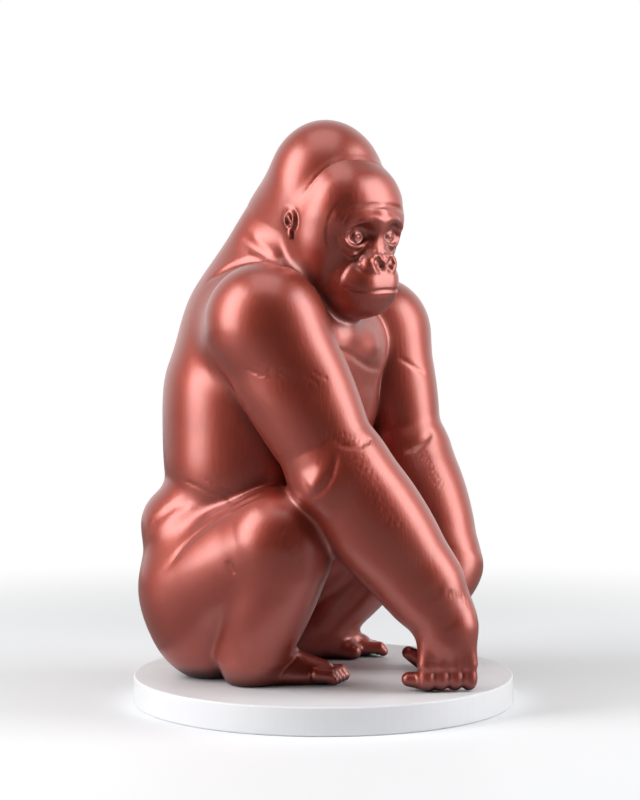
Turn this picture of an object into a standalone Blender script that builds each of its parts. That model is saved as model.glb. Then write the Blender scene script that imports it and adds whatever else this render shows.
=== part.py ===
"""A seated gorilla, cast in one piece, on a round base.

Lengths are in millimetres until the meshes are made. The part stands on z = 0 with its origin in the middle
of the base's underside. The gorilla faces -y, its left hand is at +x, and its own heights are measured from
the base's top.
"""

import bmesh
import bpy
import numpy as np

MM = 0.001

# Base
BASE_DIAMETER = 200.0
BASE_THICKNESS = 14.0
BASE_EDGE_ROUND = 0.8
BASE_SIDES = 128
BASE_ROUND_STEPS = 2
SEAT_GAP = 0.3

# Joints of the body: to the left, to the back, up from the base
RIGHT_SHOULDER = np.array((-61.0, 4.0, 183.0))
LEFT_SHOULDER = np.array((64.0, -3.0, 182.5))
RIGHT_ELBOW = np.array((-51.5, -31.5, 110.0))
LEFT_ELBOW = np.array((64.0, -20.0, 114.0))
RIGHT_FOREARM = np.array((-29.0, -68.0, 52.0))
LEFT_FOREARM = np.array((46.0, -50.5, 54.0))
RIGHT_WRIST = np.array((-25.5, -79.0, 35.0))
LEFT_WRIST = np.array((29.0, -52.0, 35.0))
RIGHT_HIP = np.array((-42.0, 49.0, 47.0))
LEFT_HIP = np.array((30.0, 54.0, 47.0))
RIGHT_KNEE = np.array((-56.5, -2.0, 71.5))
LEFT_KNEE = np.array((62.0, -4.0, 69.5))
RIGHT_ANKLE = np.array((-50.0, 17.0, 15.0))
LEFT_ANKLE = np.array((39.0, 23.0, 18.0))
RIGHT_HEEL = np.array((-47.0, 18.0, 0.0))
LEFT_HEEL = np.array((34.0, 31.0, 0.0))
HEAD_CENTRE = np.array((-14.5, -5.5, 235.0))

# Which way the head, the backs of the hands and the feet point
HEAD_FORWARD = (-0.362, -0.932, 0.0)
HEAD_UP = (-0.07, 0.02, 1.0)
RIGHT_HAND_OUTWARD = (-0.906, -0.423, 0.0)
LEFT_HAND_OUTWARD = (0.85, -0.53, 0.0)
RIGHT_FOOT_FORWARD = (0.423, -0.906, 0.0)
LEFT_FOOT_FORWARD = (0.55, -0.83, 0.0)

# Root and tip of each thumb in its hand's own frame
RIGHT_THUMB = ((-9.0, -1.5, -30.0), (-18.5, -1.0, -29.3))
LEFT_THUMB = ((3.0, 3.0, -32.0), (7.0, 12.0, -26.0))

# Girths, as radii
SHOULDER_RADIUS = 29.0
UPPER_ARM_RADIUS = 24.0
ELBOW_RADIUS = 23.5
FAR_ARM_BULK = 0.96
FOREARM_RADIUS = 25.5
LOWER_FOREARM_RADIUS = 19.5
WRIST_RADIUS = 15.0
THUMB_RADIUS = 4.4
FINGER_RADIUS = 4.0
FINGER_PITCH = 7.1
FINGER_STAGGER = 1.1
HIP_RADIUS = 33.0
KNEE_RADIUS = 26.0
CALF_RADIUS = 24.5
ANKLE_RADIUS = 17.5
FAR_ANKLE_RADIUS = 17.0
TOE_RADIUS = 3.3
TOE_PITCH = 4.8
TOE_STAGGER = 1.9
HEEL_RADIUS = 10.0
FOOT_LENGTH = 48.0

# Head, in its own frame
SKULL_HALF_WIDTH = 29.5
CREST_RADIUS = 33.0
CREST_HEIGHT = 53.5
MUZZLE_HALF_WIDTH = 19.0
EYE_SPACING = 23.6
EYE_HEIGHT = -8.3
EYE_RADIUS = 5.4
EAR_HEIGHT = 18.0

# Sculpting
CELL = 2.2
TRIANGLES = 11600


def unit(vector):
    vector = np.asarray(vector, dtype=float)
    return vector / np.linalg.norm(vector)


class Pose:
    """A local frame: x to the left of what it carries, y to its back, z to its top."""

    def __init__(self, origin, forward, up=(0.0, 0.0, 1.0)):
        back = -unit(forward)
        left = unit(np.cross(back, up))
        self.origin = np.asarray(origin, dtype=float)
        self.axes = np.array([left, back, np.cross(left, back)])

    def at(self, x, y, z):
        return self.origin + np.array([x, y, z]) @ self.axes


class Ball:
    """An ellipsoid with its own three directions as the rows of axes."""

    def __init__(self, centre, radii, axes=None):
        self.centre = np.asarray(centre, dtype=float)
        self.radii = np.broadcast_to(np.asarray(radii, dtype=float), 3)
        self.axes = np.eye(3) if axes is None else axes

    def box(self):
        reach = np.sqrt(((self.axes * self.radii[:, None]) ** 2).sum(axis=0))
        return self.centre - reach, self.centre + reach

    def distance(self, grid):
        offset = [g - c for g, c in zip(grid, self.centre)]
        first = 0.0
        second = 0.0
        for axis, radius in zip(self.axes, self.radii):
            local = sum(o * a for o, a in zip(offset, axis)) / radius
            first = first + local**2
            second = second + (local / radius) ** 2
        first = np.sqrt(first)
        return first * (first - 1.0) / np.maximum(np.sqrt(second), 1e-6)


class Limb:
    """A round limb between two points; belly swells its middle, flat = (direction, share) thins it one way."""

    def __init__(self, start, end, radii, belly=0.0, flat=None):
        self.start = np.asarray(start, dtype=float)
        self.end = np.asarray(end, dtype=float)
        self.radii = radii
        self.belly = belly
        self.flat = flat

    def box(self):
        reach = max(self.radii) + max(self.belly, 0.0)
        return np.minimum(self.start, self.end) - reach, np.maximum(self.start, self.end) + reach

    def distance(self, grid):
        span = self.end - self.start
        offset = [g - c for g, c in zip(grid, self.start)]
        along = np.clip(sum(o * s for o, s in zip(offset, span)) / (span @ span), 0.0, 1.0)
        rest = [o - along * s for o, s in zip(offset, span)]
        if self.flat is not None:
            direction, share = self.flat
            lean = sum(r * d for r, d in zip(rest, direction)) * (1.0 / share - 1.0)
            rest = [r + lean * d for r, d in zip(rest, direction)]
        swell = self.belly * 4.0 * along * (1.0 - along)
        radius = self.radii[0] + (self.radii[1] - self.radii[0]) * along + swell
        return np.sqrt(sum(r * r for r in rest)) - radius


class Lump:
    """Masses pressed together in order, each with the width over which it blends into what is there."""

    FAR = 60.0

    def __init__(self):
        self.steps = []

    def add(self, mass, blend=1.0):
        self.steps.append((mass, blend, False))

    def cut(self, mass, blend=1.0):
        self.steps.append((mass, blend, True))

    def box(self):
        boxes = [mass.box() for mass, blend, cut in self.steps if not cut]
        return np.min([b[0] for b in boxes], axis=0), np.max([b[1] for b in boxes], axis=0)

    def field(self, axes):
        """Signed distances to the surface, roughly, at every point of the grid that the three axes span."""
        depth = np.full([len(axis) for axis in axes], self.FAR, dtype=np.float32)
        for mass, blend, cut in self.steps:
            low, high = mass.box()
            margin = 2.0 * blend + 3.0 * CELL
            part = tuple(
                slice(*np.searchsorted(axis, (a - margin, b + margin))) for axis, a, b in zip(axes, low, high)
            )
            inner = [axis[p] for axis, p in zip(axes, part)]
            if isinstance(mass, Lump):
                shape = mass.field(inner)
            else:
                shape = mass.distance((inner[0][:, None, None], inner[1][None, :, None], inner[2][None, None, :]))
            here = depth[part]
            if cut:
                overlap = np.maximum(blend - np.abs(here + shape), 0.0)
                depth[part] = np.maximum(here, -shape) + overlap**2 / (4.0 * blend)
            else:
                overlap = np.maximum(blend - np.abs(here - shape), 0.0)
                depth[part] = np.minimum(here, shape) - overlap**2 / (4.0 * blend)
        return depth


def surface(axes, depth):
    """The zero level of the grid as a closed triangle mesh, each cell cut into six tetrahedra."""
    shape = depth.shape
    values = depth.ravel()
    values = np.where(np.abs(values) < 1e-3, 1e-3, values)
    strides = (shape[1] * shape[2], shape[2], 1)
    steps = [sum(((code >> k) & 1) * strides[k] for k in range(3)) for code in range(8)]
    cells = np.arange(depth.size).reshape(shape)[:-1, :-1, :-1].ravel()
    count_inside = sum((values[cells + step] < 0.0).astype(np.int8) for step in steps)
    cells = cells[(count_inside > 0) & (count_inside < 8)]
    starts = []
    ends = []
    for a, b in ((0, 1), (0, 2), (1, 0), (1, 2), (2, 0), (2, 1)):
        corners = np.stack([cells + steps[c] for c in (0, 1 << a, (1 << a) | (1 << b), 7)], axis=1)
        inside = values[corners] < 0.0
        total = inside.sum(axis=1)
        for lone in range(4):
            others = [k for k in range(4) if k != lone]
            single = ((total == 1) & inside[:, lone]) | ((total == 3) & ~inside[:, lone])
            rows = corners[single]
            starts.append(rows[:, [lone, lone, lone]])
            ends.append(rows[:, others])
        for i, j, k, m in ((0, 1, 2, 3), (0, 2, 1, 3), (0, 3, 1, 2)):
            rows = corners[(total == 2) & (inside[:, i] == inside[:, j])]
            starts.append(rows[:, [i, j, j]])
            ends.append(rows[:, [k, k, m]])
            starts.append(rows[:, [i, j, i]])
            ends.append(rows[:, [k, m, m]])
    starts = np.concatenate(starts)
    ends = np.concatenate(ends)
    keys = np.minimum(starts, ends).astype(np.int64) * depth.size + np.maximum(starts, ends)
    keys, faces = np.unique(keys.ravel(), return_inverse=True)
    low = keys // depth.size
    high = keys % depth.size
    share = np.clip(values[low] / (values[low] - values[high]), 0.02, 0.98)[:, None]

    def place(numbers):
        return np.stack([axis[n] for axis, n in zip(axes, np.unravel_index(numbers, shape))], axis=1)

    points = place(low) * (1.0 - share) + place(high) * share
    return points, faces.reshape(-1, 3)


def trunk():
    """Pelvis, belly, ribs, shoulders and nape."""
    lump = Lump()
    lump.add(Ball((-8, 46, 56), (46, 42, 52)))
    lump.add(Ball((-33, 54, 79), (32, 33, 25)), 10)
    lump.add(Ball((22, 58, 76), (34, 33, 27)), 10)
    lump.add(Ball(RIGHT_HIP + (5, -1, -1), (36, 36, 48.5)), 10)
    lump.add(Ball(LEFT_HIP + (-4, 4, -1), (37, 36, 49)), 12)
    body = Lump()
    body.add(Ball((-4, 36, 106), (60, 46, 46)))
    body.add(Ball((0, 36, 146), (63.5, 49.5, 52)), 20)
    body.add(Ball((2, 24, 182), (62, 43, 34)), 18)
    body.add(Ball((4, 8, 150), (46, 32, 44)), 16)
    lump.add(body, 7)
    lump.add(Ball(RIGHT_SHOULDER, SHOULDER_RADIUS), 18)
    lump.add(Ball(LEFT_SHOULDER, SHOULDER_RADIUS), 8)
    nape = HEAD_CENTRE + (7.0, 14.5, -1.0)
    lump.add(Limb((-4, 31, 190), nape, (36.5, 31), belly=1), 22)
    lump.add(Ball((-20, -2, 172), (28, 22, 24)), 14)
    lump.add(Ball((12, -6, 173), (30, 21, 22)), 10)
    return lump


def head():
    """The face and forehead, in front of the crest that the trunk's nape runs up to."""
    pose = Pose(HEAD_CENTRE, HEAD_FORWARD, HEAD_UP)
    axes = pose.axes
    lump = Lump()
    lump.add(Ball(pose.at(0, -16, 1), (SKULL_HALF_WIDTH + 0.5, 28, 27), axes))
    for x in (-10.5, 10.5, 0.0):
        lump.add(Ball(pose.at(x, -27, 8.0), (15.5, 15.5, 21), axes), 9)
    # Cheeks and jaw
    lump.add(Ball(pose.at(0, -12, -20), (SKULL_HALF_WIDTH - 2, 23.5, 26), axes), 12)
    lump.add(Ball(pose.at(0, -18, -31), (22, 19.5, 17.5), axes), 10)
    lump.add(Ball(pose.at(0, -19, -10), (25.5, 17.5, 14), axes), 8)
    # Muzzle and the root of the nose
    reach = 0.28 * MUZZLE_HALF_WIDTH
    lump.add(Limb(pose.at(-reach, -31.2, -28.5), pose.at(reach, -31.2, -28.5), (12.6, 12.6)), 4)
    lump.add(Ball(pose.at(0, -27.5, -38.5), (MUZZLE_HALF_WIDTH - 2.5, 14, 10.5), axes), 6)
    lump.add(Limb(pose.at(0, -29.5, -4), pose.at(0, -34.0, -17), (7.0, 7.0)), 6)
    lump.add(Ball(pose.at(0, -40, -22), (11, 5.5, 5.6), axes), 3)
    for side in (-1, 1):
        # Brow, eye and ear
        lump.add(Limb(pose.at(0, -37.2, 0.8), pose.at(17.5 * side, -32, 0.2), (7.8, 6.8)), 4)
        eye = 0.5 * side * EYE_SPACING
        lump.cut(Ball(pose.at(eye + 1.2 * side, -45.5, EYE_HEIGHT), (9.8, 9.8, 6.6), axes), 3)
        lump.add(Ball(pose.at(eye, -32.6, EYE_HEIGHT), EYE_RADIUS), 1.5)
        ear = side * SKULL_HALF_WIDTH
        lump.add(Ball(pose.at(ear, -9.5, 1.5), (3.6, 4.4, 0.3 * EAR_HEIGHT), axes), 1.5)
    return lump


def crest():
    """The hump over and behind the forehead."""
    pose = Pose(HEAD_CENTRE, HEAD_FORWARD, HEAD_UP)
    middle = CREST_HEIGHT - 37.0
    return Ball(pose.at(1, -2, middle), (CREST_RADIUS - 1, CREST_RADIUS - 3, 37.0), pose.axes)


def arm(shoulder, elbow, forearm, wrist, bulk):
    """Shoulder to wrist; bulk is the upper arm's share of its full girth."""
    lump = Lump()
    lump.add(Ball(shoulder, SHOULDER_RADIUS))
    below = shoulder + 0.12 * (elbow - shoulder)
    above = elbow + 0.16 * (shoulder - elbow)
    girths = (bulk * (SHOULDER_RADIUS - 0.5), bulk * UPPER_ARM_RADIUS)
    lump.add(Limb(below, above, girths, belly=1.5), 8)
    lump.add(Ball(elbow, bulk * ELBOW_RADIUS), 6)
    below = elbow + 0.1 * (forearm - elbow)
    lump.add(Limb(below, forearm, (FOREARM_RADIUS, LOWER_FOREARM_RADIUS), belly=3.0), 8)
    lump.add(Limb(forearm, wrist - (0, 0, 2), (LOWER_FOREARM_RADIUS, WRIST_RADIUS)), 8)
    return lump


def hand(wrist, outward, thumb):
    """Four fingers folded on to the ground and a thumb, whose root and tip are in the hand's own frame."""
    pose = Pose(wrist, outward)
    side = np.sign(thumb[1][0])
    lump = Lump()
    palm = (WRIST_RADIUS - 1.5, WRIST_RADIUS - 3.0)
    lump.add(Limb(pose.at(0, 0, 2), pose.at(0, -1, -7), palm, flat=(pose.axes[1], 0.85)), 6)
    for number in range(4):
        x = side * ((1.5 - number) * FINGER_PITCH - 0.6)
        y = FINGER_STAGGER * (number - 3)
        knuckle = pose.at(x, y - 1.5, -21.5)
        root = pose.at(0.6 * x, -1, -5)
        lump.add(Limb(root, knuckle, (FINGER_RADIUS + 4.0, FINGER_RADIUS + 0.6)), 2.5)
        lump.add(Limb(knuckle, pose.at(x, y - 0.5, -31), (FINGER_RADIUS + 0.2, FINGER_RADIUS)), 0.6)
    root, tip = thumb
    lump.add(Limb(pose.at(*root), pose.at(*tip), (THUMB_RADIUS + 0.8, THUMB_RADIUS - 0.7)), 1.5)
    return lump


def thigh(hip, knee):
    lump = Lump()
    lump.add(Limb(hip, knee + (0.5, 2, 1.5), (HIP_RADIUS, KNEE_RADIUS + 1.0), belly=2))
    lump.add(Ball(knee, KNEE_RADIUS), 8)
    return lump


def calf(knee, ankle, heel, forward, big_toe_side, girth):
    """Knee to toes; big_toe_side is 1 where the big toe lies on the foot's own left."""
    lump = Lump()
    lump.add(Limb(knee + (0, 0, -9), ankle, (CALF_RADIUS, girth), belly=1.5))
    lump.add(Limb(ankle, 0.5 * (ankle + heel), (girth, 0.7 * girth)), 6)
    pose = Pose(heel, forward)
    side = big_toe_side
    toes = 12.0 - FOOT_LENGTH
    lump.add(Ball(pose.at(0, 0, HEEL_RADIUS - 2.0), HEEL_RADIUS), 8)
    lump.add(Limb(pose.at(-5 * side, 0, 5), pose.at(-4 * side, toes, 3.8), (6.5, 4.4)), 5)
    lump.add(Limb(pose.at(2 * side, -6, 12), pose.at(side, toes + 1, 6), (HEEL_RADIUS, 5.8)), 8)
    for number in range(4):
        x = side * (number - 2) * TOE_PITCH
        reach = toes - 3.0 - TOE_STAGGER * number
        root = pose.at(x, toes + 3, 5.6)
        bend = pose.at(x, reach, 5.0)
        lump.add(Limb(root, bend, (TOE_RADIUS + 0.4, TOE_RADIUS + 0.2)), 1.0)
        lump.add(Limb(bend, pose.at(x, reach - 2.2, 3.0), (TOE_RADIUS + 0.2, TOE_RADIUS - 0.4)), 0.6)
    lump.add(Limb(pose.at(4 * side, 0.45 * toes, 6), pose.at(12 * side, 0.8 * toes, 4.5), (6.5, 4.6)), 4)
    return lump


def gorilla():
    lump = Lump()
    lump.add(trunk())
    lump.add(crest(), 12)
    lump.add(head(), 4)
    lump.add(arm(RIGHT_SHOULDER, RIGHT_ELBOW, RIGHT_FOREARM, RIGHT_WRIST, 1.0), 3)
    lump.add(Ball(RIGHT_ELBOW + (-13, 1, -9), (12.5, 12.5, 11)), 6)
    lump.add(hand(RIGHT_WRIST, RIGHT_HAND_OUTWARD, RIGHT_THUMB), 6)
    lump.add(arm(LEFT_SHOULDER, LEFT_ELBOW, LEFT_FOREARM, LEFT_WRIST, FAR_ARM_BULK), 3)
    lump.add(hand(LEFT_WRIST, LEFT_HAND_OUTWARD, LEFT_THUMB), 6)
    lump.add(thigh(RIGHT_HIP, RIGHT_KNEE), 5)
    lump.add(calf(RIGHT_KNEE, RIGHT_ANKLE, RIGHT_HEEL, RIGHT_FOOT_FORWARD, 1, ANKLE_RADIUS), 3)
    lump.add(thigh(LEFT_HIP, LEFT_KNEE), 5)
    lump.add(calf(LEFT_KNEE, LEFT_ANKLE, LEFT_HEEL, LEFT_FOOT_FORWARD, -1, FAR_ANKLE_RADIUS), 3)
    return lump


def material(name, colour, roughness, metallic):
    made = bpy.data.materials.new(name)
    made.use_nodes = True
    shader = made.node_tree.nodes["Principled BSDF"]
    shader.inputs["Base Color"].default_value = (*colour, 1.0)
    shader.inputs["Roughness"].default_value = roughness
    shader.inputs["Metallic"].default_value = metallic
    return made


def add_figure():
    lump = gorilla()
    low, high = lump.box()
    margin = 3.0 * CELL
    axes = [np.arange(a - margin, b + margin, CELL, dtype=np.float32) for a, b in zip(low, high)]
    points, faces = surface(axes, lump.field(axes))
    # What would sink into the base is pressed flat on it
    points[:, 2] = np.maximum(points[:, 2], 0.0) + BASE_THICKNESS + SEAT_GAP
    mesh = bpy.data.meshes.new("gorilla_figure")
    mesh.from_pydata((points * MM).tolist(), [], faces.tolist())
    skin = bmesh.new()
    skin.from_mesh(mesh)
    bmesh.ops.recalc_face_normals(skin, faces=skin.faces)
    skin.to_mesh(mesh)
    skin.free()
    mesh.shade_smooth()
    mesh.materials.append(material("copper red metallic paint", (0.31, 0.065, 0.05), 0.4, 0.9))
    figure = bpy.data.objects.new("gorilla_figure", mesh)
    bpy.context.scene.collection.objects.link(figure)
    thin = figure.modifiers.new("fewer triangles", "DECIMATE")
    thin.ratio = TRIANGLES / len(faces)
    thin.use_collapse_triangulate = True


def add_base():
    bpy.ops.mesh.primitive_cylinder_add(
        vertices=BASE_SIDES,
        radius=0.5 * BASE_DIAMETER * MM,
        depth=BASE_THICKNESS * MM,
        location=(0.0, 0.0, 0.5 * BASE_THICKNESS * MM),
    )
    base = bpy.context.object
    base.name = "round_base"
    base.data.materials.append(material("white lacquer", (0.8, 0.8, 0.82), 0.45, 0.0))
    edge = base.modifiers.new("eased edges", "BEVEL")
    edge.width = BASE_EDGE_ROUND * MM
    edge.segments = BASE_ROUND_STEPS
    edge.limit_method = "ANGLE"
    base.data.shade_smooth()
    base.data.set_sharp_from_angle(angle=0.6)


def main():
    for old in list(bpy.data.objects):
        bpy.data.objects.remove(old, do_unlink=True)
    add_figure()
    add_base()


main()
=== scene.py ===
"""The looks of a seated gorilla, cast in one piece, painted a metallic copper red, on a white lacquered disc.

The sculpture is worked out in millimetres as a field of distances to its surface, on a grid that is fine at
the face. The gorilla faces -y, its left hand is at +x, and its own heights are measured from the disc's top.
"""

import math

import bpy
import numpy as np
from mathutils import Matrix, Vector


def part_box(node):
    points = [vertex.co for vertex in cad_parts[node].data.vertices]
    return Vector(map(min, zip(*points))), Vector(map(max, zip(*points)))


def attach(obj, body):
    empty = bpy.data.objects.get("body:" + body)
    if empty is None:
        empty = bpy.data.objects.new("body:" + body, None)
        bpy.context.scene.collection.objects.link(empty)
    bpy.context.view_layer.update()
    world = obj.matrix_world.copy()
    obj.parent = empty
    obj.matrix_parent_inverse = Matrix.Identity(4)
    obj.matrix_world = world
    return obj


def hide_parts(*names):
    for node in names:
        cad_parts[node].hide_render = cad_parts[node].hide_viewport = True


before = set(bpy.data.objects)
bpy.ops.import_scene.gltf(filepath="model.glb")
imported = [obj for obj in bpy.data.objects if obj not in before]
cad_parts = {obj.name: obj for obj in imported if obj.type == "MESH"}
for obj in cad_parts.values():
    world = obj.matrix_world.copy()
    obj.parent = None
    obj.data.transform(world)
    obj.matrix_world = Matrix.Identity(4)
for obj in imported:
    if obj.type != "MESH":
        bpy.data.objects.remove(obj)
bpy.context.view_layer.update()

MM = 0.001
SEAT_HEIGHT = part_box("gorilla_figure")[0][2] / MM

# Camera, as the photograph was taken: it looks down a little, across the figure from its right front
VIEW_AZIMUTH = math.radians(-65.0)
VIEW_PITCH = math.radians(0.71)
VIEW_DISTANCE = 900.0
VIEW_HEIGHT = 169.0
VIEW_SHIFT = -1.77
LENS = 76.5
SENSOR = 36.0
ACROSS = np.array((math.cos(VIEW_AZIMUTH), math.sin(VIEW_AZIMUTH), 0.0))
TOWARD = np.array((math.sin(VIEW_AZIMUTH), -math.cos(VIEW_AZIMUTH), 0.0))
UPRIGHT = np.array((0.0, 0.0, 1.0))

# Floor: it shows this far from the disc's middle and is lost in white further out, both in mm. It reaches
# this many metres each way, and the paint mirrors this share of its colour
FLOOR_SHOWN = 180.0
FLOOR_GONE = 700.0
FLOOR_REACH = 3.0
FLOOR_MIRRORED = (0.3, 0.3, 0.3)

# Surroundings: how squarely a direction points to the camera where they start and end darkening in the paint,
# how bright they stay there, and the light that they scatter
DARK_FROM = -0.85
DARK_TO = -0.10
DARKEST = 0.02
SCATTERED_COLOUR = (0.80, 0.82, 0.85, 1.0)
SCATTERED_STRENGTH = 0.16

# Lamps: place to the view's right, toward the camera and up in mm, size across and along in m, power in W.
# They point at the target, in m
LAMPS = (
    ("left softbox", (-750, 300, 550), (0.5, 1.0), 10.2),
    ("right softbox", (850, 110, 500), (0.5, 1.0), 8.6),
    ("overhead softbox", (0, 200, 1100), (0.7, 0.7), 2.8),
)
LAMP_TARGET = Vector((0.0, 0.0, 0.15))

# Colours, each as the two ends that a noise runs between
COPPER_COLOURS = ((0.33, 0.035, 0.014), (0.38, 0.044, 0.019))
LACQUER_COLOURS = ((0.74, 0.74, 0.76), (0.77, 0.77, 0.785))
FLOOR_COLOURS = ((0.80, 0.81, 0.82), (0.83, 0.84, 0.85))

# How deep a fold has to be for painted shade to darken the paint in it and thin its coat, in mm
PAINTED_SHADE_DEPTH = 9.0

# Joints of the body: to the left, to the back, up from the disc
RIGHT_SHOULDER = np.array((-61.0, 4.0, 183.0))
LEFT_SHOULDER = np.array((64.0, -3.0, 182.5))
RIGHT_ELBOW = np.array((-51.5, -31.5, 110.0))
LEFT_ELBOW = np.array((64.0, -20.0, 114.0))
RIGHT_FOREARM = np.array((-29.0, -68.0, 52.0))
LEFT_FOREARM = np.array((46.0, -50.5, 54.0))
RIGHT_WRIST = np.array((-25.5, -79.0, 35.0))
LEFT_WRIST = np.array((29.0, -52.0, 35.0))
RIGHT_HIP = np.array((-42.0, 49.0, 47.0))
LEFT_HIP = np.array((30.0, 54.0, 47.0))
RIGHT_KNEE = np.array((-56.5, -2.0, 71.5))
LEFT_KNEE = np.array((62.0, -4.0, 69.5))
RIGHT_ANKLE = np.array((-50.0, 17.0, 15.0))
LEFT_ANKLE = np.array((39.0, 23.0, 18.0))
RIGHT_HEEL = np.array((-47.0, 18.0, 0.0))
LEFT_HEEL = np.array((34.0, 31.0, 0.0))
HEAD_CENTRE = np.array((-14.5, -5.5, 235.0))

# Which way the head, the backs of the hands and the feet point
HEAD_FORWARD = (-0.362, -0.932, 0.0)
HEAD_UP = (-0.07, 0.02, 1.0)
RIGHT_HAND_OUTWARD = (-0.906, -0.423, 0.0)
LEFT_HAND_OUTWARD = (0.85, -0.53, 0.0)
RIGHT_FOOT_FORWARD = (0.423, -0.906, 0.0)
LEFT_FOOT_FORWARD = (0.55, -0.83, 0.0)

# Thumbs, root and tip in the hand's own frame
RIGHT_THUMB = ((-9.0, -1.5, -30.0), (-18.5, -1.0, -29.3))
LEFT_THUMB = ((3.0, 3.0, -32.0), (7.0, 12.0, -26.0))

# Girths, as radii
SHOULDER_RADIUS = 29.0
UPPER_ARM_RADIUS = 24.0
ELBOW_RADIUS = 23.5
FAR_ARM_BULK = 0.96
FOREARM_RADIUS = 25.5
LOWER_FOREARM_RADIUS = 19.5
WRIST_RADIUS = 15.0
THUMB_RADIUS = 4.4
FINGER_RADIUS = 4.0
FINGER_PITCH = 7.1
FINGER_STAGGER = 1.1
HIP_RADIUS = 33.0
KNEE_RADIUS = 26.0
CALF_RADIUS = 24.5
ANKLE_RADIUS = 17.5
FAR_ANKLE_RADIUS = 17.0
TOE_RADIUS = 3.3
TOE_PITCH = 4.8
TOE_STAGGER = 1.9
HEEL_RADIUS = 10.0
FOOT_LENGTH = 48.0

# Head, in its own frame: to its left, to its back, to its top
SKULL_HALF_WIDTH = 29.5
CREST_RADIUS = 33.0
CREST_HEIGHT = 53.5
MUZZLE_HALF_WIDTH = 19.0
EYE_SPACING = 23.6
EYE_HEIGHT = -8.3
EYE_RADIUS = 5.4
EAR_HEIGHT = 18.0

# Sculpting: the grid's spacing changes at each stop, (position, spacing up to the next stop)
CELL = 2.2
FINE = 0.6
COARSE = 1.35
GRID_X = ((-99.0, COARSE), (-50.0, FINE), (19.0, COARSE), (99.0, 0.0))
GRID_Y = ((-99.0, FINE + 0.2), (-58.0, FINE), (4.0, COARSE), (103.0, 0.0))
GRID_Z = ((-4.0, FINE + 0.2), (32.0, COARSE), (178.0, FINE), (262.0, COARSE), (296.0, 0.0))
TRIANGLES = 196000


def unit(vector):
    vector = np.asarray(vector, dtype=float)
    return vector / np.linalg.norm(vector)


class Pose:
    """A local frame: x to the left of what it carries, y to its back, z to its top."""

    def __init__(self, origin, forward, up=(0.0, 0.0, 1.0)):
        back = -unit(forward)
        left = unit(np.cross(back, up))
        self.origin = np.asarray(origin, dtype=float)
        self.axes = np.array([left, back, np.cross(left, back)])

    def at(self, x, y, z):
        return self.origin + np.array([x, y, z]) @ self.axes

    def line(self, points, side=1):
        """Points of the left half, or of the right half where side is -1."""
        return [self.at(side * x, y, z) for x, y, z in points]


class Ball:
    """An ellipsoid with its own three directions as the rows of axes."""

    def __init__(self, centre, radii, axes=None):
        self.centre = np.asarray(centre, dtype=float)
        self.radii = np.broadcast_to(np.asarray(radii, dtype=float), 3)
        self.axes = np.eye(3) if axes is None else axes

    def box(self):
        reach = np.sqrt(((self.axes * self.radii[:, None]) ** 2).sum(axis=0))
        return self.centre - reach, self.centre + reach

    def distance(self, grid):
        offset = [g - c for g, c in zip(grid, self.centre)]
        first = 0.0
        second = 0.0
        for axis, radius in zip(self.axes, self.radii):
            local = sum(o * a for o, a in zip(offset, axis)) / radius
            first = first + local**2
            second = second + (local / radius) ** 2
        first = np.sqrt(first)
        return first * (first - 1.0) / np.maximum(np.sqrt(second), 1e-6)


class Limb:
    """A round limb between two points; belly swells its middle, flat = (direction, share) thins it."""

    def __init__(self, start, end, radii, belly=0.0, flat=None):
        self.start = np.asarray(start, dtype=float)
        self.end = np.asarray(end, dtype=float)
        self.radii = radii
        self.belly = belly
        self.flat = flat

    def box(self):
        reach = max(self.radii) + max(self.belly, 0.0)
        return np.minimum(self.start, self.end) - reach, np.maximum(self.start, self.end) + reach

    def distance(self, grid):
        span = self.end - self.start
        offset = [g - c for g, c in zip(grid, self.start)]
        along = np.clip(sum(o * s for o, s in zip(offset, span)) / (span @ span), 0.0, 1.0)
        rest = [o - along * s for o, s in zip(offset, span)]
        if self.flat is not None:
            direction, share = self.flat
            lean = sum(r * d for r, d in zip(rest, direction)) * (1.0 / share - 1.0)
            rest = [r + lean * d for r, d in zip(rest, direction)]
        swell = self.belly * 4.0 * along * (1.0 - along)
        radius = self.radii[0] + (self.radii[1] - self.radii[0]) * along + swell
        return np.sqrt(sum(r * r for r in rest)) - radius


def window(axes, box, margin):
    """The part of the grid around a box, as slices and as the three axes cut to it."""
    spans = [(low - margin, high + margin) for low, high in zip(*box)]
    part = tuple(slice(*np.searchsorted(axis, span)) for axis, span in zip(axes, spans))
    return part, [axis[p] for axis, p in zip(axes, part)]


class Lump:
    """Masses pressed together in order, each with the width over which it blends into what is there."""

    FAR = 60.0

    def __init__(self):
        self.steps = []

    def add(self, mass, blend=1.0):
        self.steps.append((mass, blend, False))

    def cut(self, mass, blend=1.0):
        self.steps.append((mass, blend, True))

    def stroke(self, points, height, width):
        """A groove (height below zero) or a raised line along points that lie near the surface."""
        self.steps.append((Stroke(points, height, width), 0.0, None))

    def box(self):
        boxes = [mass.box() for mass, blend, cut in self.steps if cut is False]
        return np.min([b[0] for b in boxes], axis=0), np.max([b[1] for b in boxes], axis=0)

    def field(self, axes):
        """Signed distances to the surface, roughly, at every point of the grid that the three axes span."""
        depth = np.full([len(axis) for axis in axes], self.FAR, dtype=np.float32)
        for mass, blend, cut in self.steps:
            if isinstance(mass, Stroke):
                mass.draw(axes, depth)
                continue
            part, inner = window(axes, mass.box(), 2.0 * blend + 3.0 * CELL)
            if min(len(axis) for axis in inner) == 0:
                continue
            if isinstance(mass, Lump):
                shape = mass.field(inner)
            else:
                shape = mass.distance(np.ix_(*inner))
            here = depth[part]
            if cut:
                overlap = np.maximum(blend - np.abs(here + shape), 0.0)
                depth[part] = np.maximum(here, -shape) + overlap**2 / (4.0 * blend)
            else:
                overlap = np.maximum(blend - np.abs(here - shape), 0.0)
                depth[part] = np.minimum(here, shape) - overlap**2 / (4.0 * blend)
        return depth


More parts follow.
